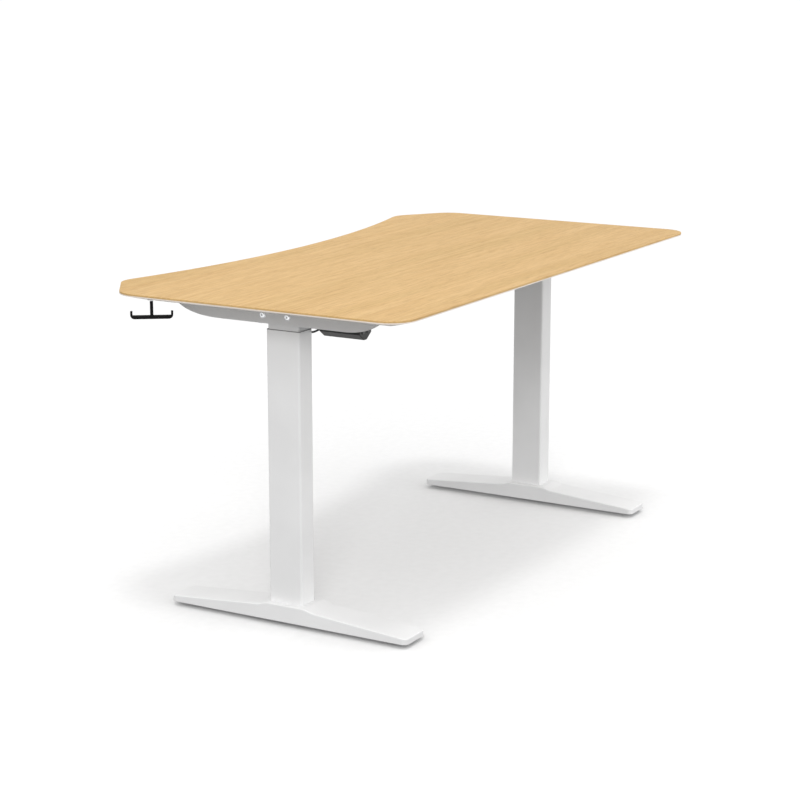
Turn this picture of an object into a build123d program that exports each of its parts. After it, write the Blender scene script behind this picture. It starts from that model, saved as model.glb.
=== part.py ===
from build123d import *
import os
from math import atan2, cos, degrees, radians, sin, tan

# Height adjustable standing desk, at its lowest position. Millimetres.
# Origin: on the floor, under the middle of the desktop. +X along the long side,
# -Y towards the straight front edge, +Z up.

# ---- driving dimensions ----

desk_length = 1400
desk_depth = 750
desk_height = 692
oak_thickness = 4
core_thickness = 14
rim_thickness = 6.2          # what the edge shows; the underside is bevelled up to it
bevel_width = 46
corner_radius = 56
chamfer_radius = 68          # where the cut-off corners meet the ends
chamfer_x, rear_tip = 574, 380       # rear corners are cut off from here ...
chamfer_y = 290.5                    # ... to here; rounding brings them to the desk's depth
rear_sag = 76                # depth of the hollow in the rear edge

column_x = 553               # column centre from the middle of the desk
column_y = -27

foot_width = 80
foot_front = -297            # foot ends, measured from the column centre
foot_rear = 283
foot_gap = 10                # foot casting above the floor
foot_tip = 22.5              # height of the foot's top at its ends
foot_shoulder = 40.3         # height of the slopes where they meet the platform
foot_top = 46                # platform under the column

outer_size = (50, 80)        # lower, thicker tube: X, Y
outer_wall = 1.5
outer_corner = 5
inner_size = (45, 75)        # upper tube, slides inside
inner_wall = 2
inner_corner = 4
outer_top = 624              # with the slide bush's collar
collar = 1
slide_gap = 0.3              # between the tubes' plastic guides and the steel

spindle_radius = 8
push_tube_radius = 11
running_gap = 0.05

sheet = 3                    # folded steel of the arms and head plates
arm_bottom = 635

# ---- worked out from them ----

board_bottom = desk_height - oak_thickness - core_thickness
core_top = desk_height - oak_thickness
bevel_height = core_thickness + oak_thickness - rim_thickness
outer_face = column_x + outer_size[0] / 2
head_top = arm_bottom + sheet
head_height = board_bottom - head_top
column = Plane(origin=(-column_x, column_y, 0))

os.makedirs("parts", exist_ok=True)


def save(piece, name):
    piece.part.label = name
    export_step(piece.part, f"parts/{name}.step")


def save_pair(piece, name):
    """The left piece as drawn, and its mirror image on the right."""
    save(piece, f"{name}_left")
    with BuildPart() as other:
        mirror(piece.part, about=Plane.YZ)
    save(other, f"{name}_right")


def at_column(height):
    """The left column's own plane: x = 0, y = 0 on its axis."""
    return column.offset(height)


# ---- desktop: oak-veneered layer on a white board with a bevelled underside ----


def desk_outline():
    half_length, front = desk_length / 2, -desk_depth / 2
    with BuildSketch() as outline:
        with BuildLine():
            Polyline(
                (-chamfer_x, rear_tip),
                (-half_length, chamfer_y),
                (-half_length, front),
                (half_length, front),
                (half_length, chamfer_y),
                (chamfer_x, rear_tip),
            )
            ThreePointArc((chamfer_x, rear_tip), (0, rear_tip - rear_sag), (-chamfer_x, rear_tip))
        make_face()
        chamfer_ends = outline.vertices().filter_by_position(Axis.Y, chamfer_y - 1, chamfer_y + 1)
        fillet(chamfer_ends, chamfer_radius)
        fillet([v for v in outline.vertices() if v.Y in (front, rear_tip)], corner_radius)
    return outline.sketch


with BuildPart() as oak_top:
    with BuildSketch(Plane.XY.offset(core_top)):
        add(desk_outline())
    extrude(amount=oak_thickness)
    fillet(oak_top.faces().sort_by(Axis.Z)[-1].edges(), 1)
save(oak_top, "oak_top")

# Wood screws: pan heads on 3 mm flanges, or sunk in the beams on their top wall.
beam_y = (column_y - 58, column_y + 92)
beam_size = (25, head_height)
beam_wall = 1.5
beam_screw_x = (-300, 0, 300)
arm_screw_x = outer_face - 16
arm_screw_y = (column_y - 193, column_y + 135, column_y + 215)
hook_at = (-640, column_y + 280)
hook_turn = degrees(atan2(rear_tip - chamfer_y, desk_length / 2 - chamfer_x))
hook_screw_reach = 12
hook_flange = (36, 16)       # let into the board, flush with its underside
box_half = (120, 50)
box_y = column_y + 17
handset_x = -538
handset_rear = column_y - 75
handset_front = column_y - 172

hook_across = (cos(radians(hook_turn)), sin(radians(hook_turn)), 0)
hook_screws = [
    (hook_at[0] + reach * hook_across[0], hook_at[1] + reach * hook_across[1])
    for reach in (-hook_screw_reach, hook_screw_reach)
]
flange_screws = [(side * arm_screw_x, y) for side in (-1, 1) for y in arm_screw_y]
flange_screws += [
    (side_x * (box_half[0] + 9), box_y + side_y * 36) for side_x in (-1, 1) for side_y in (-1, 1)
]
flange_screws += [(handset_x, handset_rear - 12), (handset_x, handset_front + 22)]
beam_screws = [(x, y) for x in beam_screw_x for y in beam_y]
screw_radius, screw_length = 2, 12
screw_head, head_rise = 4.4, 2.6
cross_recess = (3.8, 0.9)
pilot_radius, pilot_spare = 2.05, 0.5

with BuildPart() as desktop_core:
    with BuildSketch(Plane.XY.offset(board_bottom)):
        add(desk_outline())
    extrude(amount=core_thickness)
    underside = desktop_core.faces().sort_by(Axis.Z)[0]
    chamfer(underside.edges(), length=bevel_width, length2=bevel_height, reference=underside)
    with BuildSketch(Plane.XY.offset(board_bottom)):
        with Locations(*flange_screws, *beam_screws, *hook_screws):
            Circle(pilot_radius)
    extrude(amount=screw_length + pilot_spare, mode=Mode.SUBTRACT)
    with BuildSketch(Plane(origin=(*hook_at, board_bottom), x_dir=hook_across, z_dir=(0, 0, 1))):
        RectangleRounded(*hook_flange, 4)
    extrude(amount=sheet, mode=Mode.SUBTRACT)
save(desktop_core, "desktop_core")


def wood_screw(place, seat):
    """One pan-head screw hanging from the board, its head's seat at a given height."""
    x, y = place
    with BuildPart() as screw:
        with BuildSketch(Plane.XZ.offset(-y)):
            with BuildLine():
                Polyline(
                    (x, seat - head_rise),
                    (x + 2.6, seat - head_rise),
                    (x + screw_head, seat - 1.2),
                    (x + screw_head, seat),
                    (x + screw_radius, seat),
                    (x + screw_radius, seat + screw_length - 2),
                    (x, seat + screw_length),
                    close=True,
                )
            make_face()
        revolve(axis=Axis((x, y, 0), (0, 0, 1)))
        with BuildSketch(Plane.XY.offset(seat - head_rise)):
            with Locations((x, y)):
                Rectangle(*cross_recess)
                Rectangle(*cross_recess[::-1])
        extrude(amount=1.6, mode=Mode.SUBTRACT)
    return screw.part


with BuildPart() as wood_screws:
    for place in flange_screws:
        add(wood_screw(place, board_bottom - sheet))
    for place in beam_screws:
        add(wood_screw(place, board_bottom - beam_wall))
    for place in hook_screws:
        add(wood_screw(place, board_bottom))
save(wood_screws, "wood_screws")

# ---- side arms: folded steel, bolted to the gear heads, carry the desktop's ends ----

arm_bolt_y = (column_y - 13, column_y + 47)
arm_bolt_z = 653
head_y = (column_y - 41, column_y + 75)

with BuildPart() as arm:
    front_flat, front_end = column_y - 145, column_y - 246
    rear_flat, rear_end = column_y + 150, column_y + 275
    sweep_low = arm_bottom + 10
    with BuildSketch(Plane.YZ.offset(-outer_face)):
        with BuildLine():
            Polyline((rear_end, board_bottom), (front_end, board_bottom))
            Bezier(
                (front_end, board_bottom),
                (front_end + 25, sweep_low),
                (front_end + 60, arm_bottom),
                (front_flat, arm_bottom),
            )
            Line((front_flat, arm_bottom), (rear_flat, arm_bottom))
            Bezier(
                (rear_flat, arm_bottom),
                (rear_end - 65, arm_bottom),
                (rear_end - 25, sweep_low),
                (rear_end, board_bottom),
            )
        make_face()
        with Locations(*[(y, arm_bolt_z) for y in arm_bolt_y]):
            Circle(4.5, mode=Mode.SUBTRACT)
    extrude(amount=sheet)
    # flanges under the board, clear of the gear head and the handset bracket
    with BuildSketch(Plane.XY.offset(board_bottom - sheet)):
        for low, high in ((front_end + 22, handset_front - 4), (head_y[1] + 32, rear_end - 30)):
            with Locations((-outer_face + 14, (low + high) / 2)):
                Rectangle(28, high - low)
        with Locations(*[(-arm_screw_x, y) for y in arm_screw_y]):
            Circle(2.4, mode=Mode.SUBTRACT)
    extrude(amount=sheet)
save_pair(arm, "arm")

with BuildPart() as arm_bolts:
    for side in (-1, 1):
        for y in arm_bolt_y:
            face_x = side * outer_face
            with BuildSketch(Plane.XZ.offset(-y)):
                with BuildLine():
                    Polyline(
                        (face_x + side * 4.4, arm_bolt_z),
                        (face_x + side * 4.4, arm_bolt_z + 4.2),
                        (face_x + side * 2.6, arm_bolt_z + 6.2),
                        (face_x, arm_bolt_z + 7),
                        (face_x, arm_bolt_z + 4),
                        (face_x - side * 13, arm_bolt_z + 4),
                        (face_x - side * 13, arm_bolt_z),
                        close=True,
                    )
                make_face()
            revolve(axis=Axis((face_x, y, arm_bolt_z), (1, 0, 0)))
            with BuildSketch(Plane.YZ.offset(face_x + side * 1.4)):
                with Locations((y, arm_bolt_z)):
                    RegularPolygon(2.9, 6)
            extrude(amount=side * 3, mode=Mode.SUBTRACT)
save(arm_bolts, "arm_bolts")

# ---- column heads: plate on the inner tube, gearbox, bearing and motor ----

head_inner_x = 83                    # head plate's inboard edge, from the column axis
gearbox_inner_x = 38
gearbox_screws = [(32, -33), (32, 20), (32, 66), (-13, 62)]
beam_bolt_x = (50, 74)
beam_bolts_at = [(x, y - column_y) for x in beam_bolt_x for y in beam_y]
bearing_radius, bearing_height = 14, 10
motor_y = 24
motor_radius = 17.5
motor_z = head_top + 0.5 + motor_radius
plate_left = sheet - outer_size[0] / 2          # behind the arm's web

with BuildPart() as head_plate:
    with BuildSketch(at_column(arm_bottom)):
        with BuildLine():
            Polyline(
                (plate_left, -73),
                (head_inner_x, -73),
                (head_inner_x, 109),
                (plate_left, 109),
                close=True,
            )
        make_face()
        Circle(spindle_radius + 1, mode=Mode.SUBTRACT)
        with Locations(*gearbox_screws):
            Circle(2.7, mode=Mode.SUBTRACT)
        with Locations(*beam_bolts_at):
            Circle(3.3, mode=Mode.SUBTRACT)
    extrude(amount=sheet)
    fillet(head_plate.edges().filter_by(Axis.Z).group_by(Axis.X)[-1], 8)
save_pair(head_plate, "head_plate")

with BuildPart() as gearbox:
    with BuildSketch(at_column(head_top)):
        with Locations(((plate_left + gearbox_inner_x) / 2, (head_y[0] + head_y[1]) / 2 - column_y)):
            Rectangle(gearbox_inner_x - plate_left, head_y[1] - head_y[0])
    extrude(amount=head_height)
    fillet(gearbox.edges().filter_by(Axis.Z), 5)
    # bearing seat, spindle bore, and room for the worm wheel above them
    with BuildSketch(at_column(head_top)):
        Circle(bearing_radius)
    extrude(amount=bearing_height, mode=Mode.SUBTRACT)
    with BuildSketch(at_column(head_top + bearing_height)):
        Circle(spindle_radius + running_gap)
    extrude(amount=14, mode=Mode.SUBTRACT)
    with BuildSketch(at_column(head_top)):
        with Locations(*gearbox_screws):
            Circle(2.55)
    extrude(amount=14, mode=Mode.SUBTRACT)
    with BuildSketch(Plane.YZ.offset(-outer_face + sheet)):
        with Locations(*[(y, arm_bolt_z) for y in arm_bolt_y]):
            Circle(4.1)
    extrude(amount=11, mode=Mode.SUBTRACT)
    # cooling ribs on the top, either side of the wheel
    with BuildSketch(at_column(board_bottom)):
        with Locations((6, 62), (6, 54), (6, 46)):
            Rectangle(40, 4)
    extrude(amount=-5, mode=Mode.SUBTRACT)
save_pair(gearbox, "gearbox")

with BuildPart() as gearbox_fixings:
    with BuildSketch(at_column(arm_bottom - 3)):
        with Locations(*gearbox_screws):
            Circle(4.25)
    extrude(amount=3)
    with BuildSketch(at_column(arm_bottom)):
        with Locations(*gearbox_screws):
            Circle(2.5)
    extrude(amount=15)
    with BuildSketch(at_column(arm_bottom - 3)):
        with Locations(*gearbox_screws):
            RegularPolygon(1.8, 6)
    extrude(amount=1.5, mode=Mode.SUBTRACT)
    mirror(gearbox_fixings.part, about=Plane.YZ)
save(gearbox_fixings, "gearbox_screws")

with BuildPart() as bearing:
    with BuildSketch(Plane.XZ.offset(-column_y)):
        with BuildLine():
            Polyline(
                (-column_x + spindle_radius + 0.6, head_top),
                (-column_x + bearing_radius, head_top),
                (-column_x + bearing_radius, head_top + bearing_height - 1),
                (-column_x + bearing_radius - 1, head_top + bearing_height),
                (-column_x + spindle_radius + 0.6, head_top + bearing_height),
                close=True,
            )
        make_face()
    revolve(axis=Axis((-column_x, column_y, 0), (0, 0, 1)))
save_pair(bearing, "bearing")

with BuildPart() as motor:
    motor_plane = Plane(
        origin=(-column_x + gearbox_inner_x, column_y + motor_y, motor_z), z_dir=(1, 0, 0)
    )
    with BuildSketch(motor_plane):
        Circle(motor_radius)
    extrude(amount=84)
    fillet(motor.faces().sort_by(Axis.X)[-1].edges(), 3)
    with BuildSketch(motor_plane.offset(84)):
        Circle(13.5)
    extrude(amount=14)
    with BuildSketch(motor_plane.offset(98)):
        Circle(4)
    extrude(amount=4)
    # brush slots either side of the end bell
    with BuildSketch(motor_plane.offset(88)):
        with Locations((0, 13), (0, -13)):
            Rectangle(8, 4)
    extrude(amount=6, mode=Mode.SUBTRACT)
save_pair(motor, "motor")

# ---- crossbeams between the heads ----

for y, name in ((beam_y[0], "crossbeam_front"), (beam_y[1], "crossbeam_rear")):
    beam_half = outer_face - sheet - 5
    with BuildPart() as crossbeam:
        with BuildSketch(Plane.YZ.offset(-beam_half)):
            with Locations((y, head_top + head_height / 2)):
                RectangleRounded(*beam_size, 2.5)
                RectangleRounded(
                    beam_size[0] - 2 * beam_wall, beam_size[1] - 2 * beam_wall, 1, mode=Mode.SUBTRACT
                )
        extrude(amount=2 * beam_half)
        with BuildSketch(Plane.XY.offset(head_top)):
            with Locations(*[(x, y) for x in beam_screw_x]):
                Circle(6)
        extrude(amount=beam_wall, mode=Mode.SUBTRACT)
        with BuildSketch(Plane.XY.offset(board_bottom - beam_wall)):
            with Locations(*[(x, y) for x in beam_screw_x]):
                Circle(2.2)
        extrude(amount=beam_wall, mode=Mode.SUBTRACT)
        with BuildSketch(Plane.XY.offset(head_top)):
            for side in (-1, 1):
                with Locations(*[(side * (column_x - x), y) for x in beam_bolt_x]):
                    Circle(3.1)
        extrude(amount=beam_wall, mode=Mode.SUBTRACT)
    save(crossbeam, name)

with BuildPart() as beam_bolts:
    with BuildSketch(at_column(arm_bottom - 3.5)):
        with Locations(*beam_bolts_at):
            Circle(5.2)
    extrude(amount=3.5)
    with BuildSketch(at_column(arm_bottom)):
        with Locations(*beam_bolts_at):
            Circle(3)
    extrude(amount=12)
    with BuildSketch(at_column(arm_bottom - 3.5)):
        with Locations(*beam_bolts_at):
            RegularPolygon(2.3, 6)
    extrude(amount=2, mode=Mode.SUBTRACT)
    mirror(beam_bolts.part, about=Plane.YZ)
save(beam_bolts, "beam_bolts")

# ---- columns: two square-cornered tubes, the thinner one sliding in the thicker ----


def rounded(size, corner, grow=0):
    """A tube's outline, grown or shrunk all round."""
    RectangleRounded(size[0] + 2 * grow, size[1] + 2 * grow, corner + grow)


bore_grow = -outer_wall
inner_foot = 75                       # inner tube's lower end, at rest

with BuildPart() as outer_tube:
    with BuildSketch(at_column(foot_top)):
        rounded(outer_size, outer_corner)
        RectangleRounded(
            outer_size[0] - 2 * outer_wall,
            outer_size[1] - 2 * outer_wall,
            outer_corner - outer_wall,
            mode=Mode.SUBTRACT,
        )
    extrude(amount=outer_top - collar - foot_top)
save_pair(outer_tube, "outer_tube")

with BuildPart() as slide_bush:
    with BuildSketch(at_column(outer_top - collar)):
        rounded(outer_size, outer_corner, -0.2)
    extrude(amount=collar)
    with BuildSketch(at_column(outer_top - collar)):
        rounded(outer_size, outer_corner, bore_grow)
    extrude(amount=-42)
    with BuildSketch(at_column(outer_top)):
        rounded(inner_size, inner_corner, slide_gap)
    extrude(amount=-60, mode=Mode.SUBTRACT)
save_pair(slide_bush, "slide_bush")

with BuildPart() as inner_tube:
    with BuildSketch(at_column(inner_foot)):
        rounded(inner_size, inner_corner)
        RectangleRounded(
            inner_size[0] - 2 * inner_wall,
            inner_size[1] - 2 * inner_wall,
            inner_corner - inner_wall,
            mode=Mode.SUBTRACT,
        )
    extrude(amount=arm_bottom - inner_foot)
save_pair(inner_tube, "inner_tube")

with BuildPart() as tube_guide:
    with BuildSketch(at_column(inner_foot - 8)):
        rounded(outer_size, outer_corner, bore_grow - slide_gap)
    extrude(amount=8)
    with BuildSketch(at_column(inner_foot)):
        rounded(inner_size, inner_corner, -inner_wall)
    extrude(amount=24)
    with BuildSketch(at_column(inner_foot - 8)):
        RectangleRounded(35, 65, 4)
    extrude(amount=40, mode=Mode.SUBTRACT)
save_pair(tube_guide, "tube_guide")

# ---- lift: spindle hung from the gearbox, nut on a push tube that stands on the foot ----

plug_height = 10
push_foot = foot_top + plug_height
push_top = 588
nut_height = 26
spindle_foot = 82
foot_bolts_at = [(x, y) for x in (-13, 13) for y in (-27, 27)]

with BuildPart() as tube_plug:
    with BuildSketch(at_column(foot_top)):
        rounded(outer_size, outer_corner, bore_grow)
        with Locations(*foot_bolts_at):
            Circle(4.1, mode=Mode.SUBTRACT)
    extrude(amount=plug_height)
save_pair(tube_plug, "tube_plug")

with BuildPart() as push_tube:
    with BuildSketch(at_column(push_foot)):
        Circle(push_tube_radius)
        Circle(push_tube_radius - 1.5, mode=Mode.SUBTRACT)
    extrude(amount=push_top - push_foot)
save_pair(push_tube, "push_tube")

with BuildPart() as lift_nut:
    with BuildSketch(at_column(push_top)):
        Circle(push_tube_radius + 2)
        Circle(spindle_radius + running_gap, mode=Mode.SUBTRACT)
    extrude(amount=nut_height)
    chamfer(lift_nut.faces().sort_by(Axis.Z)[-1].edges().sort_by(SortBy.RADIUS)[-1], 2)
save_pair(lift_nut, "lift_nut")

with BuildPart() as spindle:
    with BuildSketch(at_column(spindle_foot)):
        Circle(spindle_radius)
    extrude(amount=head_top + bearing_height + 13 - spindle_foot)
    chamfer(spindle.faces().sort_by(Axis.Z)[0].edges(), 1.5)
save_pair(spindle, "spindle")

# ---- feet: hollow castings with ribs, levelled by screw glides ----

glide_y = (-265, 246)
glide_stud_radius = 4
boss_radius = 11
stud_top = foot_gap + 12
wall = 3
end_wall = 9                 # thicker, so that the pockets stay inside the rounded corners


def foot_profile():
    """Side view of the foot: two slopes running up to the platform under the column."""
    with BuildSketch() as profile:
        with BuildLine():
            Polyline(
                (column_y + foot_front, foot_gap),
                (column_y + foot_rear, foot_gap),
                (column_y + foot_rear, foot_tip),
                (column_y + 60, foot_shoulder),
                (column_y + 38, foot_top),
                (column_y - 52, foot_top),
                (column_y - 74, foot_shoulder),
                (column_y + foot_front, foot_tip),
                close=True,
            )
        make_face()
        fillet(profile.vertices().group_by(Axis.Y)[-1], 25)
        fillet(profile.vertices().filter_by_position(Axis.Y, foot_shoulder - 1, foot_shoulder + 1), 30)
    return profile.sketch


with BuildPart() as foot:
    with BuildSketch(Plane.YZ.offset(-column_x - foot_width / 2)):
        add(foot_profile())
    extrude(amount=foot_width)
    fillet(foot.edges().filter_by(Axis.Z), 12)
    fillet(foot.faces().filter_by(Axis.Z, reverse=True).edges().filter_by(
        lambda edge: edge.center().Z > foot_gap + 8), 2.5)
    # three pockets open below, with a rib between each
    with BuildSketch(Plane.YZ.offset(-column_x - foot_width / 2 + wall)):
        with BuildLine():
            Polyline(
                (column_y + foot_front + end_wall, foot_gap),
                (column_y + foot_front + end_wall, foot_tip - wall),
                (column_y - 62, foot_shoulder - wall),
                (column_y - 62, foot_gap),
                close=True,
            )
        make_face()
        with BuildLine():
            Polyline(
                (column_y - 57, foot_gap),
                (column_y - 57, foot_top - 8),
                (column_y + 45, foot_top - 8),
                (column_y + 45, foot_gap),
                close=True,
            )
        make_face()
        with BuildLine():
            Polyline(
                (column_y + 50, foot_gap),
                (column_y + 50, foot_shoulder - wall),
                (column_y + foot_rear - end_wall, foot_tip - wall),
                (column_y + foot_rear - end_wall, foot_gap),
                close=True,
            )
        make_face()
    extrude(amount=foot_width - 2 * wall, mode=Mode.SUBTRACT)
    for y in glide_y:
        with BuildSketch(at_column(foot_gap)):
            with Locations((0, y)):
                Circle(boss_radius)
        extrude(amount=stud_top - foot_gap + 1)
        with BuildSketch(at_column(foot_gap)):
            with Locations((0, y)):
                Circle(glide_stud_radius + running_gap)
        extrude(amount=stud_top - foot_gap + 0.5, mode=Mode.SUBTRACT)
    with BuildSketch(at_column(foot_top - 8)):
        with Locations(*foot_bolts_at):
            Circle(4.5)
    extrude(amount=8, mode=Mode.SUBTRACT)
save_pair(foot, "foot")

with BuildPart() as foot_bolts:
    with BuildSketch(at_column(foot_top - 8 - 5)):
        with Locations(*foot_bolts_at):
            Circle(6.5)
    extrude(amount=5)
    with BuildSketch(at_column(foot_top - 8)):
        with Locations(*foot_bolts_at):
            Circle(4)
    extrude(amount=16)
    with BuildSketch(at_column(foot_top - 13)):
        with Locations(*foot_bolts_at):
            RegularPolygon(3.3, 6)
    extrude(amount=3, mode=Mode.SUBTRACT)
save_pair(foot_bolts, "foot_bolts")

for y, end in ((glide_y[0], "front"), (glide_y[1], "rear")):
    with BuildPart() as glide:
        with BuildSketch(Plane.XZ.offset(-(column_y + y))):
            with BuildLine():
                Polyline(
                    (-column_x, 0),
                    (-column_x + 15, 0),
                    (-column_x + 17, 1.5),
                    (-column_x + 17, 4),
                    (-column_x + 15.5, 5.5),
                    (-column_x + 9, 6.2),
                    (-column_x + 8, foot_gap - 0.3),
                    (-column_x + glide_stud_radius, foot_gap - 0.3),
                    (-column_x + glide_stud_radius, stud_top - 1),
                    (-column_x + glide_stud_radius - 1, stud_top),
                    (-column_x, stud_top),
                    close=True,
                )
            make_face()
        revolve(axis=Axis((-column_x, column_y + y, 0), (0, 0, 1)))
    save_pair(glide, f"glide_{end}")

# ---- control box under the board, between the beams ----

box_bottom = board_bottom - 32
box_wall = 2
plug_spots = {"left": ((-box_half[0], box_y + 7), (-box_half[0], box_y - 25)),
              "right": ((box_half[0], box_y + 7),)}
plug_z = board_bottom - 18
inlet_y = box_y - 25

with BuildPart() as box_base:
    with BuildSketch(Plane.XY.offset(board_bottom - sheet)):
        with Locations((0, box_y)):
            RectangleRounded(2 * box_half[0] + 36, 2 * box_half[1], 6)
        with Locations(*[(x, y) for x, y in flange_screws if abs(x) == box_half[0] + 9]):
            Circle(2.4, mode=Mode.SUBTRACT)
    extrude(amount=sheet)
save(box_base, "control_box_base")

with BuildPart() as box_cover:
    with BuildSketch(Plane.XY.offset(box_bottom)):
        with Locations((0, box_y)):
            RectangleRounded(2 * box_half[0], 2 * box_half[1], 6)
    extrude(amount=board_bottom - sheet - box_bottom)
    fillet(box_cover.faces().sort_by(Axis.Z)[0].edges(), 2)
    with BuildSketch(Plane.XY.offset(box_bottom + box_wall)):
        with Locations((0, box_y)):
            RectangleRounded(2 * (box_half[0] - box_wall), 2 * (box_half[1] - box_wall), 4)
    extrude(amount=board_bottom - sheet - box_bottom - box_wall, mode=Mode.SUBTRACT)
    # socket openings in the ends
    for spots in plug_spots.values():
        for x, y in spots:
            direction = 1 if x > 0 else -1
            with BuildSketch(Plane.YZ.offset(x - direction * 4)):
                with Locations((y, plug_z)):
                    RectangleRounded(15, 11, 1.5)
            extrude(amount=direction * 8, mode=Mode.SUBTRACT)
    with BuildSketch(Plane.YZ.offset(box_half[0] - 4)):
        with Locations((inlet_y, plug_z)):
            RectangleRounded(28, 20, 2)
    extrude(amount=8, mode=Mode.SUBTRACT)
    # vent slots in the floor
    with BuildSketch(Plane.XY.offset(box_bottom)):
        with Locations((0, box_y)):
            with GridLocations(9, 0, 12, 1):
                SlotOverall(46, 3.5, rotation=90)
    extrude(amount=box_wall, mode=Mode.SUBTRACT)
save(box_cover, "control_box_cover")

with BuildPart() as control_board:
    with BuildSketch(Plane.XY.offset(board_bottom - 9)):
        with Locations((0, box_y)):
            Rectangle(2 * box_half[0] - 44, 2 * box_half[1] - 10)
    extrude(amount=1.6)
    # components hang below the board: transformer, capacitors, relays
    with BuildSketch(Plane.XY.offset(board_bottom - 9)):
        with Locations((-50, box_y + 8)):
            Rectangle(44, 36)
        with Locations((10, box_y + 20), (32, box_y + 20)):
            Circle(8)
        with Locations((6, box_y - 20), (26, box_y - 20), (46, box_y - 20), (66, box_y - 20)):
            Rectangle(14, 18)
    extrude(amount=-15)
save(control_board, "control_board")

with BuildPart() as inlet:
    inlet_plane = Plane(origin=(box_half[0], inlet_y, plug_z), x_dir=(0, 1, 0), z_dir=(1, 0, 0))
    with BuildSketch(inlet_plane):
        RectangleRounded(34, 25, 3)
    extrude(amount=2.5)
    with BuildSketch(inlet_plane):
        RectangleRounded(27.8, 19.8, 2)
    extrude(amount=-16)
    with BuildSketch(inlet_plane.offset(2.5)):
        RectangleRounded(24, 16, 3)
    extrude(amount=-15, mode=Mode.SUBTRACT)
    with BuildSketch(inlet_plane.offset(-12.5)):
        with Locations((-7, -1), (7, -1), (0, 3.5)):
            Rectangle(2, 4)
    extrude(amount=11)
save(inlet, "mains_inlet")

with BuildPart() as cable_plugs:
    for spots in plug_spots.values():
        for x, y in spots:
            direction = 1 if x > 0 else -1
            plug_plane = Plane(origin=(x, y, plug_z), x_dir=(0, 1, 0), z_dir=(direction, 0, 0))
            with BuildSketch(plug_plane.offset(-3)):
                RectangleRounded(14.8, 10.8, 1.4)
            extrude(amount=17)
            with BuildSketch(plug_plane.offset(14)):
                Circle(4)
            with BuildSketch(plug_plane.offset(24)):
                Circle(2.9)
            loft()
save(cable_plugs, "cable_plugs")

# ---- handset: a slim V-shaped housing with two buttons in its front end ----

handset_low = 615
handset_high = 640
handset_half = 23
handset_shoulder = 628
button_half_space = 9.5


def handset_section(inset):
    """V-shaped cross-section, rounded at the bottom, or the hollow inside it."""
    with BuildSketch() as section:
        with BuildLine():
            Polyline(
                (-handset_half + inset, handset_high - inset),
                (handset_half - inset, handset_high - inset),
                (handset_half - inset, handset_shoulder),
                (5, handset_low + inset),
                (-5, handset_low + inset),
                (-handset_half + inset, handset_shoulder),
                close=True,
            )
        make_face()
        fillet(section.vertices().group_by(Axis.Y)[0], 5)
    return section.sketch


handset_length = handset_rear - handset_front
cap_depth = 8
handset_run = Plane(origin=(handset_x, handset_rear, 0), x_dir=(1, 0, 0), z_dir=(0, -1, 0))

with BuildPart() as housing:
    with BuildSketch(handset_run):
        add(handset_section(0))
    extrude(amount=handset_length - cap_depth)
    fillet(housing.faces().sort_by(Axis.Y)[-1].edges(), 4)
    with BuildSketch(handset_run.offset(3)):
        add(handset_section(2))
    extrude(amount=handset_length - cap_depth - 3, mode=Mode.SUBTRACT)
    with BuildSketch(Plane.XZ.offset(-handset_rear)):
        with Locations((handset_x, handset_high - 8)):
            Circle(2.2)
    extrude(amount=4, mode=Mode.SUBTRACT)
save(housing, "handset_housing")

button_z = handset_high - 8
button_spots = [(handset_x + side * button_half_space, button_z) for side in (-1, 1)]
button_size = (9, 6.5)

with BuildPart() as end_cap:
    with BuildSketch(handset_run.offset(handset_length - cap_depth)):
        add(handset_section(0))
    extrude(amount=cap_depth)
    fillet(end_cap.faces().sort_by(Axis.Y)[0].edges(), 1.5)
    with BuildSketch(Plane.XZ.offset(-handset_front - cap_depth)):
        with Locations(*button_spots):
            RectangleRounded(button_size[0] + 0.6, button_size[1] + 0.6, 1.8)
    extrude(amount=cap_depth, mode=Mode.SUBTRACT)
save(end_cap, "handset_end_cap")

for (x, z), name in zip(button_spots, ("down_button", "up_button")):
    with BuildPart() as button:
        with BuildSketch(Plane.XZ.offset(-handset_front + 1.6)):
            with Locations((x, z)):
                RectangleRounded(*button_size, 1.5)
        extrude(amount=-8)
        fillet(button.faces().sort_by(Axis.Y)[0].edges(), 0.8)
    save(button, name)

with BuildPart() as switch_board:
    with BuildSketch(Plane.XZ.offset(-handset_front - cap_depth - 3)):
        with Locations((handset_x, button_z)):
            Rectangle(28, 8)
    extrude(amount=-1.6)
    with BuildSketch(Plane.XZ.offset(-handset_front - cap_depth - 3)):
        with Locations(*button_spots):
            Rectangle(6, 5)
    extrude(amount=2.6)
save(switch_board, "handset_board")

with BuildPart() as bracket:
    with BuildSketch(Plane.YZ.offset(handset_x - 15)):
        with BuildLine():
            Polyline(
                (handset_rear, board_bottom),
                (handset_front + 10, board_bottom),
                (handset_front + 10, board_bottom - sheet),
                (handset_front + 34, board_bottom - sheet),
                (handset_front + 34, handset_high + sheet),
                (handset_front + 12, handset_high + sheet),
                (handset_front + 12, handset_high),
                (handset_rear - 22, handset_high),
                (handset_rear - 22, board_bottom - sheet),
                (handset_rear, board_bottom - sheet),
                close=True,
            )
        make_face()
        with Locations(((handset_front + 34 + handset_rear - 22) / 2, (board_bottom + handset_high) / 2)):
            Rectangle(
                handset_rear - 22 - handset_front - 34 - 2 * sheet,
                board_bottom - handset_high - 2 * sheet,
                mode=Mode.SUBTRACT,
            )
    extrude(amount=30)
    with BuildSketch(Plane.XY.offset(board_bottom - sheet)):
        with Locations((handset_x, handset_rear - 12), (handset_x, handset_front + 22)):
            Circle(2.4)
    extrude(amount=sheet, mode=Mode.SUBTRACT)
save(bracket, "handset_bracket")

# ---- double bag hook under the rear left corner ----

hook_low = 632.5
hook_half = 44
hook_bar = 6.5
hook_depth = 12
hook_tip = 648

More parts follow.
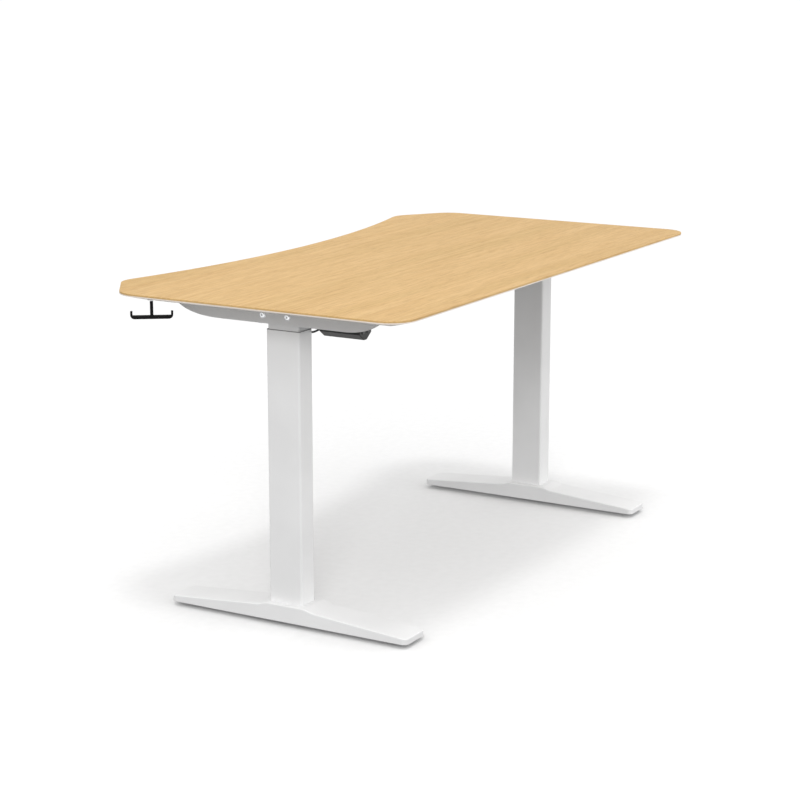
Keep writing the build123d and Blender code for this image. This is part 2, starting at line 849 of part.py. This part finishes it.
with BuildPart() as bag_hook:
    side_dir = (-sin(radians(hook_turn)), cos(radians(hook_turn)), 0)
    hook_plane = Plane(origin=(*hook_at, 0), x_dir=side_dir, z_dir=hook_across)
    with BuildSketch(hook_plane.offset(-hook_depth / 2)) as hook_side:
        with BuildLine():
            Polyline(
                (-hook_bar / 2, board_bottom),
                (-hook_bar / 2, hook_low + hook_bar),
                (-hook_half + 4.5, hook_low + hook_bar),
                (-hook_half + 4.5, hook_tip),
                (-hook_half, hook_tip),
                (-hook_half, hook_low),
                (hook_half, hook_low),
                (hook_half, hook_tip),
                (hook_half - 4.5, hook_tip),
                (hook_half - 4.5, hook_low + hook_bar),
                (hook_bar / 2, hook_low + hook_bar),
                (hook_bar / 2, board_bottom),
                close=True,
            )
        make_face()
        low_corners = hook_side.vertices().group_by(Axis.Y)
        fillet(low_corners[0], 9)
        fillet(low_corners[1], 4.5)
        fillet(low_corners[2], 1.8)
    extrude(amount=hook_depth)
    with BuildSketch(Plane(origin=(*hook_at, board_bottom), x_dir=hook_across, z_dir=(0, 0, 1))):
        RectangleRounded(*hook_flange, 4)
        with Locations((-hook_screw_reach, 0), (hook_screw_reach, 0)):
            Circle(2.4, mode=Mode.SUBTRACT)
    extrude(amount=sheet)
save(bag_hook, "bag_hook")

# ---- cables, clipped under the board ----


def corner_radii(points):
    """Each bend's arc: 0.45 of the shorter run, over the tangent of half the turn."""
    radii = []
    for before, corner, after in zip(points, points[1:], points[2:]):
        first, second = Vector(corner) - Vector(before), Vector(after) - Vector(corner)
        turn = first.get_angle(second)
        radii.append(0.45 * min(first.length, second.length) / tan(radians(turn / 2)))
    return radii


def run_cable(points, radius, name):
    radii = corner_radii(points)
    with BuildPart() as cable:
        with BuildLine() as route:
            FilletPolyline(*points, radius=radii)
        path = route.wires()[0]
        with BuildSketch(Plane(origin=path @ 0, z_dir=path % 0)):
            Circle(radius)
        sweep(path=path)
    print(name, "radii", [round(r, 1) for r in radii], "length", round(path.length, 1))
    return cable


motor_cable_radius = 2.9
handset_cable_radius = 2.2
cable_z = board_bottom - 8
motor_end = -column_x + gearbox_inner_x + 98 + 4

motor_route = [
    (motor_end, column_y + motor_y, motor_z),
    (motor_end + 25, column_y + motor_y, motor_z),
    (motor_end + 62, column_y + motor_y + 2, motor_z + 8),
    (motor_end + 118, column_y + motor_y + 1, cable_z),
    (motor_end + 176, column_y + motor_y + 2, cable_z - 1),
    (motor_end + 226, column_y + motor_y - 1, cable_z - 7),
    (-box_half[0] - 44, column_y + motor_y, plug_z),
    (-box_half[0] - 24, column_y + motor_y, plug_z),
]
left_cable = run_cable(motor_route, motor_cable_radius, "motor_cable")
save_pair(left_cable, "motor_cable")

handset_route = [
    (handset_x, handset_rear + 0.5, handset_high - 8),
    (handset_x + 2, handset_rear + 10, handset_high - 12),
    (handset_x + 9, handset_rear + 22, handset_high - 18.5),
    (handset_x + 18, handset_rear + 38, handset_high - 25.5),
    (handset_x + 25, handset_rear + 58, handset_high - 28.5),
    (handset_x + 38, handset_rear + 74, handset_high - 24),
    (handset_x + 66, handset_rear + 82, handset_high - 15),
    (handset_x + 96, handset_rear + 76, handset_high),
    (handset_x + 124, handset_rear + 68, cable_z - 8),
    (handset_x + 172, handset_rear + 64, cable_z),
    (handset_x + 230, handset_rear + 65, cable_z - 1),
    (handset_x + 290, handset_rear + 63, cable_z),
    (handset_x + 340, handset_rear + 64, cable_z - 5),
    (-box_half[0] - 46, box_y - 25, plug_z),
    (-box_half[0] - 24, box_y - 25, plug_z),
]
handset_cable = run_cable(handset_route, handset_cable_radius, "handset_cable")
save(handset_cable, "handset_cable")


# nylon saddles over the cables' straight stretches, stuck to the board
clips_at = [
    (motor_end + 147, column_y + motor_y + 1.5, cable_z - 0.5, motor_cable_radius),
    (handset_x + 201, handset_rear + 64.5, cable_z - 0.5, handset_cable_radius),
    (handset_x + 260, handset_rear + 64, cable_z - 0.5, handset_cable_radius),
]
clip_length, clip_wall = 9, 1.6


def cable_clip(x, y, z, radius):
    """A strap from the board round a cable that runs along X, with a foot on one side."""
    inside = radius + 0.5
    outside = inside + clip_wall
    with BuildPart() as clip:
        with BuildSketch(Plane.YZ.offset(x - clip_length / 2)):
            with Locations((y, z)):
                Circle(outside)
            with Locations((y, (z + board_bottom) / 2)):
                Rectangle(2 * outside, board_bottom - z)
            with Locations((y + outside + 3, board_bottom - clip_wall / 2)):
                Rectangle(7, clip_wall)
            with Locations((y, z)):
                Circle(inside, mode=Mode.SUBTRACT)
            with Locations((y, (z + board_bottom) / 2)):
                Rectangle(2 * inside, board_bottom - z, mode=Mode.SUBTRACT)
        extrude(amount=clip_length)
    return clip.part


with BuildPart() as cable_clips:
    for x, y, z, radius in clips_at:
        add(cable_clip(x, y, z, radius))
    x, y, z, radius = clips_at[0]
    add(cable_clip(-x, y, z, radius))
save(cable_clips, "cable_clips")
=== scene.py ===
"""Height adjustable standing desk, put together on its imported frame: its finishes, its cables and the
studio it stands in. Metres, in the frame's own axes: X along the desk, -Y its front edge, Z up."""

from math import radians

import bpy
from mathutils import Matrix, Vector


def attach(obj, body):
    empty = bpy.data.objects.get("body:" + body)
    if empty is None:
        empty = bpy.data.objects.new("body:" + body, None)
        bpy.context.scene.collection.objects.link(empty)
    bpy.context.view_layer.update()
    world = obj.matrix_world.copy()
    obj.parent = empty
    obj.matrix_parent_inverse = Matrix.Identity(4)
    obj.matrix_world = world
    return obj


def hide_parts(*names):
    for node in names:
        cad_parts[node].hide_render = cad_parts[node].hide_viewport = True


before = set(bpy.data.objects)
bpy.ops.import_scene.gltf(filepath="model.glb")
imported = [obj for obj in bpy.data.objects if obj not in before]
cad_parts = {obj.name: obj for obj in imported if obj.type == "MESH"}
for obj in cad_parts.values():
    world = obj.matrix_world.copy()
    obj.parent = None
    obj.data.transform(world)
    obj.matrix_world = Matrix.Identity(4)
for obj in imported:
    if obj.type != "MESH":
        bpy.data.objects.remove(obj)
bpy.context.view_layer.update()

# ---- desktop, upper layer ----
# A 4 mm layer faced with sliced oak, its grain along the desk's length, sanded and lacquered matt.
# It is glued on the white board below, and the two edges were cut in one pass.
mm = 0.001


def linear(colour):
    """An sRGB hex colour as linear RGBA."""
    parts = [int(colour[i : i + 2], 16) / 255 for i in (1, 3, 5)]
    return [c / 12.92 if c <= 0.04045 else ((c + 0.055) / 1.055) ** 2.4 for c in parts] + [1]


def add_node(tree, kind, settings=None, inputs=None):
    """A shader node with its settings, and its inputs' values or the outputs that feed them."""
    made = tree.nodes.new("ShaderNode" + kind)
    for name, value in (settings or {}).items():
        if name == "stops":
            ramp = made.color_ramp.elements
            while len(ramp) < len(value):
                ramp.new(0.5)
            for stop, (place, colour) in zip(ramp, value):
                stop.position = place
                stop.color = linear(colour)
        else:
            setattr(made, name, value)
    for name, value in (inputs or {}).items():
        if isinstance(value, bpy.types.NodeSocket):
            tree.links.new(value, made.inputs[name])
        else:
            made.inputs[name].default_value = value
    return made


def start_material(name):
    """A new material's node tree, its principled shader, and the object's own coordinates in metres."""
    material = bpy.data.materials.new(name)
    material.use_nodes = True
    tree = material.node_tree
    shader = tree.nodes["Principled BSDF"]
    place = add_node(tree, "TexCoord").outputs["Object"]
    return material, tree, shader, place


def finish_nodes(material, *names):
    """Gives CAD nodes this material in place of the one they were packed with."""
    for name in names:
        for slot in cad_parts[name].material_slots:
            slot.material = material


# Sliced oak under matt lacquer: a pale honey tone in long soft bands, darker growth lines that wander
# a little, and short open pores. The lacquer leaves a broad dull sheen and follows the pores. Real
# pores are about 0.3 mm wide and are drawn coarser here so that they show.
oak, tree, shader, place = start_material("Oak veneer, matt lacquer")
slow_place = add_node(
    tree, "Mapping", {},
    {"Vector": place, "Scale": (1 / (700 * mm), 1 / (200 * mm), 1 / (200 * mm))},
)
wander = add_node(
    tree, "TexNoise", {"noise_dimensions": "3D"},
    {"Vector": slow_place.outputs[0], "Scale": 1.0, "Detail": 2.0},
)
both_ways = add_node(
    tree, "VectorMath", {"operation": "SUBTRACT"}, {0: wander.outputs["Color"], 1: (0.5, 0.5, 0.5)}
)
drift = add_node(
    tree, "VectorMath", {"operation": "SCALE"}, {0: both_ways.outputs[0], "Scale": 22 * mm}
)
grain_place = add_node(
    tree, "VectorMath", {"operation": "ADD"}, {0: place, 1: drift.outputs[0]}
).outputs[0]


def oak_pattern(along, across, detail, roughness):
    """Noise stretched along the grain: the length and the width of one streak, in millimetres."""
    stretched = add_node(
        tree, "Mapping", {},
        {"Vector": grain_place, "Scale": (1 / (along * mm), 1 / (across * mm), 1 / (across * mm))},
    )
    return add_node(
        tree, "TexNoise", {"noise_dimensions": "3D"},
        {"Vector": stretched.outputs[0], "Scale": 1.0, "Detail": detail, "Roughness": roughness},
    ).outputs["Fac"]


bands = add_node(
    tree, "ValToRGB", {"stops": [(0.34, "#CAA973"), (0.50, "#CFAD78"), (0.68, "#D3B17C")]},
    {"Fac": oak_pattern(900, 62, 3.0, 0.55)},
)
growth = add_node(
    tree, "ValToRGB", {"stops": [(0.38, "#B98F58"), (0.60, "#FFFFFF")]},
    {"Fac": oak_pattern(260, 5, 3.0, 0.6)},
)
pores = add_node(
    tree, "ValToRGB", {"stops": [(0.38, "#95703F"), (0.50, "#FFFFFF")]},
    {"Fac": oak_pattern(48, 1.7, 2.0, 0.6)},
)
with_growth = add_node(
    tree, "MixRGB", {"blend_type": "MULTIPLY"},
    {"Fac": 0.16, "Color1": bands.outputs["Color"], "Color2": growth.outputs["Color"]},
)
with_pores = add_node(
    tree, "MixRGB", {"blend_type": "MULTIPLY"},
    {"Fac": 0.24, "Color1": with_growth.outputs["Color"], "Color2": pores.outputs["Color"]},
)
dents = add_node(
    tree, "Bump", {}, {"Strength": 0.25, "Distance": 0.12 * mm, "Height": pores.outputs["Color"]}
)
sheen = add_node(
    tree, "MapRange", {}, {"Value": growth.outputs["Color"], "To Min": 0.68, "To Max": 0.58}
)
tree.links.new(with_pores.outputs["Color"], shader.inputs["Base Color"])
tree.links.new(sheen.outputs["Result"], shader.inputs["Roughness"])
tree.links.new(dents.outputs["Normal"], shader.inputs["Normal"])
shader.inputs["IOR"].default_value = 1.45
shader.inputs["Specular IOR Level"].default_value = 0.15
finish_nodes(oak, "oak_top")

# ---- desktop, white board ----
# 14 mm fibreboard under the oak, its underside bevelled up so that the edge shows only a slim rim.
# Rim, bevel and underside are filled and sprayed with satin lacquer.

# Satin lacquer on fibreboard: warm off-white, faintly cloudy, with the soft ripple of sprayed paint.
board, tree, shader, place = start_material("White lacquered fibreboard")
cloud = add_node(tree, "TexNoise", {}, {"Vector": place, "Scale": 1 / (90 * mm), "Detail": 3.0})
tone = add_node(
    tree, "ValToRGB", {"stops": [(0.35, "#DCD2C7"), (0.65, "#E4DAD0")]}, {"Fac": cloud.outputs["Fac"]}
)
ripple = add_node(tree, "TexNoise", {}, {"Vector": place, "Scale": 1 / (4 * mm), "Detail": 2.0})
peel = add_node(
    tree, "Bump", {}, {"Strength": 0.15, "Distance": 0.05 * mm, "Height": ripple.outputs["Fac"]}
)
tree.links.new(tone.outputs["Color"], shader.inputs["Base Color"])
tree.links.new(peel.outputs["Normal"], shader.inputs["Normal"])
shader.inputs["Roughness"].default_value = 0.42
finish_nodes(board, "desktop_core")

# ---- steel frame ----
# Arms, head plates, crossbeams, both tubes of each column and the cast feet: welded or cast, blasted,
# then powder-coated white as one batch.

# White powder coat baked on steel: neutral white with a fine pebbled skin, satin rather than glossy,
# and edges where the powder has drawn back into a small soft radius. Real pebbling is about 0.3 mm
# across and is drawn coarser, as it is on the black coat further down.
powder, tree, shader, place = start_material("White powder-coated steel")
shade = add_node(tree, "TexNoise", {}, {"Vector": place, "Scale": 1 / (130 * mm), "Detail": 3.0})
tone = add_node(
    tree, "ValToRGB", {"stops": [(0.35, "#E3E3E3"), (0.65, "#E8E8E8")]}, {"Fac": shade.outputs["Fac"]}
)
pebble = add_node(
    tree, "TexNoise", {}, {"Vector": place, "Scale": 1 / (1.6 * mm), "Detail": 2.0, "Roughness": 0.6}
)
soft_edge = add_node(tree, "Bevel", {"samples": 4}, {"Radius": 0.9 * mm})
skin = add_node(
    tree, "Bump", {},
    {"Strength": 0.3, "Distance": 0.04 * mm, "Height": pebble.outputs["Fac"],
     "Normal": soft_edge.outputs["Normal"]},
)
tree.links.new(tone.outputs["Color"], shader.inputs["Base Color"])
tree.links.new(skin.outputs["Normal"], shader.inputs["Normal"])
shader.inputs["Roughness"].default_value = 0.5
finish_nodes(
    powder, "arm_left", "arm_right", "head_plate_left", "head_plate_right", "crossbeam_front",
    "crossbeam_rear", "outer_tube_left", "outer_tube_right", "inner_tube_left", "inner_tube_right",
    "foot_left", "foot_right",
)

# ---- screws and bolts ----
# Bought-in fixings of cold-headed steel, all electroplated with bright zinc: button heads on the
# arms, cap screws under the heads and feet, pan-head wood screws up into the board.

# Bright zinc plate: silver with a faint blue cast and cloudy patches of duller plate.
zinc, tree, shader, place = start_material("Zinc-plated steel")
patch = add_node(tree, "TexNoise", {}, {"Vector": place, "Scale": 1 / (5 * mm), "Detail": 3.0})
tone = add_node(
    tree, "ValToRGB", {"stops": [(0.35, "#E4E6E9"), (0.65, "#F4F5F6")]}, {"Fac": patch.outputs["Fac"]}
)
dull = add_node(
    tree, "MapRange", {}, {"Value": patch.outputs["Fac"], "To Min": 0.34, "To Max": 0.48}
)
tree.links.new(tone.outputs["Color"], shader.inputs["Base Color"])
tree.links.new(dull.outputs["Result"], shader.inputs["Roughness"])
shader.inputs["Metallic"].default_value = 1.0
finish_nodes(
    zinc, "arm_bolts", "beam_bolts", "foot_bolts_left", "foot_bolts_right", "gearbox_screws",
    "wood_screws",
)

# ---- lifting gear ----
# Turned and drawn steel inside each column: spindle, push tube, the plug welded in the outer tube's
# foot, and the bearing the spindle hangs on.

# Bright drawn steel, lightly oiled: mid grey with fine lathe or drawing marks round it.
steel, tree, shader, place = start_material("Bright drawn steel")
rings = add_node(
    tree, "Mapping", {}, {"Vector": place, "Scale": (1 / (30 * mm), 1 / (30 * mm), 1 / (0.8 * mm))}
)
marks = add_node(tree, "TexNoise", {}, {"Vector": rings.outputs[0], "Scale": 1.0, "Detail": 2.0})
tone = add_node(
    tree, "ValToRGB", {"stops": [(0.3, "#8F9296"), (0.7, "#B4B7BA")]}, {"Fac": marks.outputs["Fac"]}
)
cut = add_node(
    tree, "Bump", {}, {"Strength": 0.3, "Distance": 0.03 * mm, "Height": marks.outputs["Fac"]}
)
tree.links.new(tone.outputs["Color"], shader.inputs["Base Color"])
tree.links.new(cut.outputs["Normal"], shader.inputs["Normal"])
shader.inputs["Metallic"].default_value = 1.0
shader.inputs["Roughness"].default_value = 0.32
finish_nodes(
    steel, "spindle_left", "spindle_right", "push_tube_left", "push_tube_right", "tube_plug_left",
    "tube_plug_right", "bearing_left", "bearing_right",
)

# ---- gearboxes ----
# Pressure die-cast housings, shot-blasted and left bare, with ribs on top to shed the heat.

# Die-cast aluminium: light neutral grey, blasted to a fine sparkle, with darker flow marks.
casting, tree, shader, place = start_material("Die-cast aluminium")
flow = add_node(
    tree, "TexNoise", {}, {"Vector": place, "Scale": 1 / (30 * mm), "Detail": 5.0, "Distortion": 1.5}
)
tone = add_node(
    tree, "ValToRGB", {"stops": [(0.3, "#8E9091"), (0.7, "#ABADAE")]}, {"Fac": flow.outputs["Fac"]}
)
blast = add_node(tree, "TexNoise", {}, {"Vector": place, "Scale": 1 / (1.2 * mm), "Detail": 2.0})
grit = add_node(
    tree, "Bump", {}, {"Strength": 0.5, "Distance": 0.08 * mm, "Height": blast.outputs["Fac"]}
)
tree.links.new(tone.outputs["Color"], shader.inputs["Base Color"])
tree.links.new(grit.outputs["Normal"], shader.inputs["Normal"])
shader.inputs["Metallic"].default_value = 1.0
shader.inputs["Roughness"].default_value = 0.55
finish_nodes(casting, "gearbox_left", "gearbox_right")

# ---- motors ----
# Drawn steel cans with a pressed end bell, dipped in black electrocoat. One lies beside each gearbox
# under the board.

# Black electrocoat on drawn steel: thin and even, semi-gloss, with the can's drawing lines under it.
dipped, tree, shader, place = start_material("Black electrocoated steel")
drawn = add_node(
    tree, "Mapping", {}, {"Vector": place, "Scale": (1 / (50 * mm), 1 / (1.2 * mm), 1 / (1.2 * mm))}
)
lines = add_node(tree, "TexNoise", {}, {"Vector": drawn.outputs[0], "Scale": 1.0, "Detail": 2.0})
tone = add_node(
    tree, "ValToRGB", {"stops": [(0.3, "#17181A"), (0.7, "#222326")]}, {"Fac": lines.outputs["Fac"]}
)
groove = add_node(
    tree, "Bump", {}, {"Strength": 0.2, "Distance": 0.03 * mm, "Height": lines.outputs["Fac"]}
)
tree.links.new(tone.outputs["Color"], shader.inputs["Base Color"])
tree.links.new(groove.outputs["Normal"], shader.inputs["Normal"])
shader.inputs["Roughness"].default_value = 0.35
finish_nodes(dipped, "motor_left", "motor_right")

# ---- guides, nuts and glides ----
# Wearing parts, injection-moulded: grey acetal bushes and guides between the tubes, a natural
# acetal nut on each spindle, and pale nylon pads on the levelling screws.

# Acetal and nylon, moulded: slippery and slightly waxy, with a faint moulded grain.
for name, colours, users in (
    ("Grey acetal", ("#4A4A4C", "#565658"),
     ("slide_bush_left", "slide_bush_right", "tube_guide_left", "tube_guide_right")),
    ("Natural acetal", ("#DAD8D0", "#E6E4DC"), ("lift_nut_left", "lift_nut_right")),
    ("Pale grey nylon", ("#C9C9C8", "#D6D6D5"),
     ("glide_front_left", "glide_front_right", "glide_rear_left", "glide_rear_right")),
):
    waxy, tree, shader, place = start_material(name)
    milky = add_node(tree, "TexNoise", {}, {"Vector": place, "Scale": 1 / (12 * mm), "Detail": 2.0})
    tone = add_node(
        tree, "ValToRGB", {"stops": [(0.35, colours[0]), (0.65, colours[1])]},
        {"Fac": milky.outputs["Fac"]},
    )
    spark = add_node(tree, "TexNoise", {}, {"Vector": place, "Scale": 1 / (0.9 * mm), "Detail": 1.0})
    mould = add_node(
        tree, "Bump", {}, {"Strength": 0.2, "Distance": 0.03 * mm, "Height": spark.outputs["Fac"]}
    )
    tree.links.new(tone.outputs["Color"], shader.inputs["Base Color"])
    tree.links.new(mould.outputs["Normal"], shader.inputs["Normal"])
    shader.inputs["Roughness"].default_value = 0.42
    finish_nodes(waxy, *users)

# ---- bag hook and handset bracket ----
# Flat steel, bent and welded, then powder-coated black. The hook's flange is let into the board and
# held by two screws, and the bracket hangs the handset from the board's underside.

# Black powder coat on steel: deep neutral black with a fine pebbled skin that breaks up its sheen.
black_metal, tree, shader, place = start_material("Black powder-coated steel")
pebble = add_node(tree, "TexNoise", {}, {"Vector": place, "Scale": 1 / (1.2 * mm), "Detail": 2.0})
tone = add_node(
    tree, "ValToRGB", {"stops": [(0.3, "#020202"), (0.7, "#050505")]}, {"Fac": pebble.outputs["Fac"]}
)
soft_edge = add_node(tree, "Bevel", {"samples": 4}, {"Radius": 0.8 * mm})
skin = add_node(
    tree, "Bump", {},
    {"Strength": 0.4, "Distance": 0.05 * mm, "Height": pebble.outputs["Fac"],
     "Normal": soft_edge.outputs["Normal"]},
)
tree.links.new(tone.outputs["Color"], shader.inputs["Base Color"])
tree.links.new(skin.outputs["Normal"], shader.inputs["Normal"])
shader.inputs["Roughness"].default_value = 0.55
shader.inputs["Specular IOR Level"].default_value = 0.12
finish_nodes(black_metal, "bag_hook", "handset_bracket")

# ---- handset and control box housings ----
# Injection-moulded in black ABS with a spark-eroded texture. The plugs and the saddles that hold the
# cables are nylon of the same black and texture.

# Black ABS, spark-eroded: near-black with a fine even stipple and a soft grey sheen on its slopes. The
# stipple is drawn at 1.1 mm, coarser than real spark erosion.
abs_black, tree, shader, place = start_material("Black textured ABS")
stipple = add_node(tree, "TexVoronoi", {}, {"Vector": place, "Scale": 1 / (1.1 * mm)})
cloud = add_node(tree, "TexNoise", {}, {"Vector": place, "Scale": 1 / (20 * mm), "Detail": 2.0})
tone = add_node(
    tree, "ValToRGB", {"stops": [(0.3, "#040405"), (0.7, "#09090A")]}, {"Fac": cloud.outputs["Fac"]}
)
soft_edge = add_node(tree, "Bevel", {"samples": 4}, {"Radius": 0.6 * mm})
erode = add_node(
    tree, "Bump", {},
    {"Strength": 0.35, "Distance": 0.05 * mm, "Height": stipple.outputs["Distance"],
     "Normal": soft_edge.outputs["Normal"]},
)
tree.links.new(tone.outputs["Color"], shader.inputs["Base Color"])
tree.links.new(erode.outputs["Normal"], shader.inputs["Normal"])
shader.inputs["Roughness"].default_value = 0.36
shader.inputs["Specular IOR Level"].default_value = 0.28
finish_nodes(
    abs_black, "handset_housing", "handset_end_cap", "control_box_base", "control_box_cover",
    "mains_inlet", "cable_plugs", "cable_clips",
)

# ---- buttons ----
# Two push buttons in the handset's front end, down on the left and up on the right, moulded in
# polished black ABS.

# Polished ABS: near-black and glossier than the housing, with a trace of handling marks.
gloss_black, tree, shader, place = start_material("Black polished ABS")
touch = add_node(tree, "TexNoise", {}, {"Vector": place, "Scale": 1 / (3 * mm), "Detail": 3.0})
tone = add_node(
    tree, "ValToRGB", {"stops": [(0.3, "#060606"), (0.7, "#0C0C0D")]}, {"Fac": touch.outputs["Fac"]}
)
worn = add_node(
    tree, "MapRange", {}, {"Value": touch.outputs["Fac"], "To Min": 0.16, "To Max": 0.3}
)
tree.links.new(tone.outputs["Color"], shader.inputs["Base Color"])
tree.links.new(worn.outputs["Result"], shader.inputs["Roughness"])
finish_nodes(gloss_black, "down_button", "up_button")

# ---- circuit boards ----
# Glass-epoxy boards etched in copper and coated with green solder mask: one in the control box, and
# a small one behind the handset's two buttons.

# Solder mask over copper: glossy green, lighter where tracks lie under it.
mask, tree, shader, place = start_material("Green solder mask")
tracks = add_node(
    tree, "TexBrick", {"offset": 0.37, "squash": 0.6},
    {"Vector": place, "Scale": 1.0, "Color1": linear("#1C5B34"), "Color2": linear("#23693D"),
     "Mortar": linear("#123F24"), "Mortar Size": 0.4 * mm, "Brick Width": 9 * mm,
     "Row Height": 2 * mm},
)
tree.links.new(tracks.outputs["Color"], shader.inputs["Base Color"])
shader.inputs["Roughness"].default_value = 0.25
finish_nodes(mask, "control_board", "handset_board")

# ---- cables ----
# Round PVC leads: one from each motor and a thinner one from the handset. All three end at the
# control box and are held to the board by saddles, with loose spans between.

# Black PVC, extruded: soft satin black, a little uneven in tone.
pvc, tree, shader, place = start_material("Black PVC")
uneven = add_node(tree, "TexNoise", {}, {"Vector": place, "Scale": 1 / (6 * mm), "Detail": 3.0})
tone = add_node(
    tree, "ValToRGB", {"stops": [(0.3, "#060607"), (0.7, "#0A0A0B")]}, {"Fac": uneven.outputs["Fac"]}
)
tree.links.new(tone.outputs["Color"], shader.inputs["Base Color"])
shader.inputs["Roughness"].default_value = 0.5
shader.inputs["Specular IOR Level"].default_value = 0.25


def run_lead(name, route, radius):
    """A round lead along a smooth line that starts and ends on its route's end points."""
    curve = bpy.data.curves.new(name, "CURVE")
    curve.dimensions = "3D"
    curve.bevel_depth = radius
    curve.bevel_resolution = 6
    curve.resolution_u = 12
    curve.use_fill_caps = True
    line = curve.splines.new("NURBS")
    line.points.add(len(route) - 1)
    for point, at in zip(line.points, route):
        point.co = (*at, 1)
    line.use_endpoint_u = True
    line.order_u = 3
    curve.materials.append(pvc)
    lead = bpy.data.objects.new(name.replace("cable", "lead"), curve)
    bpy.context.scene.collection.objects.link(lead)
    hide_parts(name)
    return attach(lead, "top")


motor_route = [
    (-0.413, -0.003, 0.656),
    (-0.388, -0.003, 0.656),
    (-0.351, -0.001, 0.664),
    (-0.295, -0.002, 0.666),
    (-0.237, -0.001, 0.665),
    (-0.187, -0.004, 0.659),
    (-0.164, -0.003, 0.656),
    (-0.144, -0.003, 0.656),
]
for name, side in (("motor_cable_left", 1), ("motor_cable_right", -1)):
    lead = run_lead(name, [(side * x, y, z) for x, y, z in motor_route], 2.9 * mm)

handset_route = [
    (-0.538, -0.1015, 0.632),
    (-0.536, -0.092, 0.628),
    (-0.529, -0.080, 0.6215),
    (-0.520, -0.064, 0.6145),
    (-0.513, -0.044, 0.6115),
    (-0.500, -0.028, 0.616),
    (-0.472, -0.020, 0.625),
    (-0.442, -0.026, 0.640),
    (-0.414, -0.034, 0.658),
    (-0.366, -0.038, 0.666),
    (-0.308, -0.037, 0.665),
    (-0.248, -0.039, 0.666),
    (-0.198, -0.038, 0.661),
    (-0.166, -0.035, 0.656),
    (-0.144, -0.035, 0.656),
]
lead = run_lead("handset_cable", handset_route, 2.2 * mm)

# ---- studio ----
# A seamless white floor under a dome that is white above and grey below, a high soft box at the front
# left for the end faces, a low weak one at the front right for the columns' fronts, and a broad sun that
# lays the desk's own shadow.

# Matt paper roll: clean bright white right out to the horizon, and clear when seen from below.
paper, tree, shader, place = start_material("White studio paper")
fibre = add_node(tree, "TexNoise", {}, {"Vector": place, "Scale": 1 / (20 * mm), "Detail": 3.0})
tone = add_node(
    tree, "ValToRGB", {"stops": [(0.3, "#EBEBEB"), (0.7, "#EEEEEE")]}, {"Fac": fibre.outputs["Fac"]}
)
tree.links.new(tone.outputs["Color"], shader.inputs["Base Color"])
shader.inputs["Roughness"].default_value = 0.95
shader.inputs["Specular IOR Level"].default_value = 0.0
back = add_node(tree, "NewGeometry").outputs["Backfacing"]
clear = add_node(tree, "BsdfTransparent").outputs[0]
one_sided = add_node(tree, "MixShader", {}, {0: back, 1: shader.outputs["BSDF"], 2: clear})
tree.links.new(one_sided.outputs[0], tree.nodes["Material Output"].inputs["Surface"])

floor_mesh = bpy.data.meshes.new("studio_floor")
reach = 60.0
floor_mesh.from_pydata(
    [(-reach, -reach, 0), (reach, -reach, 0), (reach, reach, 0), (-reach, reach, 0)], [], [(0, 1, 2, 3)]
)
floor_mesh.materials.append(paper)
floor = bpy.data.objects.new("studio_floor", floor_mesh)
bpy.context.scene.collection.objects.link(floor)
floor.visible_diffuse = False

world = bpy.data.worlds.new("studio_dome")
bpy.context.scene.world = world
world.use_nodes = True
tree = world.node_tree
direction = add_node(tree, "TexCoord").outputs["Generated"]
height = add_node(tree, "SeparateXYZ", {}, {"Vector": direction}).outputs["Z"]
up_share = add_node(tree, "MapRange", {}, {"Value": height, "From Min": -1.0, "From Max": 1.0})
dome = add_node(
    tree, "ValToRGB", {"stops": [(0.42, "#8A8A8A"), (0.56, "#FFFFFF")]},
    {"Fac": up_share.outputs[0]},
)
background = tree.nodes["Background"]
tree.links.new(dome.outputs["Color"], background.inputs["Color"])
background.inputs["Strength"].default_value = 1.05


def soft_box(name, at, aim, size, power):
    """A square area light that faces a point and stays out of the picture."""
    light = bpy.data.lights.new(name, "AREA")
    light.size = size
    light.energy = power
    box = bpy.data.objects.new(name, light)
    box.location = at
    box.rotation_euler = (Vector(aim) - Vector(at)).to_track_quat("-Z", "Y").to_euler()
    box.visible_camera = False
    bpy.context.scene.collection.objects.link(box)


soft_box("front_left_box", (-3.6, -1.7, 2.3), (-0.5, 0, 0.4), 1.0, 51)
soft_box("front_right_box", (0.6, -1.7, 0.45), (0.55, 0, 0.55), 0.6, 6)

overhead = bpy.data.lights.new("overhead_sun", "SUN")
overhead.energy = 0.5
overhead.angle = radians(11)
lamp = bpy.data.objects.new("overhead_sun", overhead)
lamp.rotation_euler = (radians(6.5), radians(-8), 0)
bpy.context.scene.collection.objects.link(lamp)

# The lens is long and looks down over the front left corner.
lens = bpy.data.cameras.new("studio_camera")
lens.lens = 94.94
lens.sensor_width = 36
lens.clip_end = 200
camera = bpy.data.objects.new("studio_camera", lens)
camera.location = (-4.0806, -2.3307, 1.4355)
camera.rotation_euler = (radians(90 - 12.857), 0, radians(-59.914))
bpy.context.scene.collection.objects.link(camera)
bpy.context.scene.camera = camera
bpy.context.scene.view_settings.view_transform = "Standard"
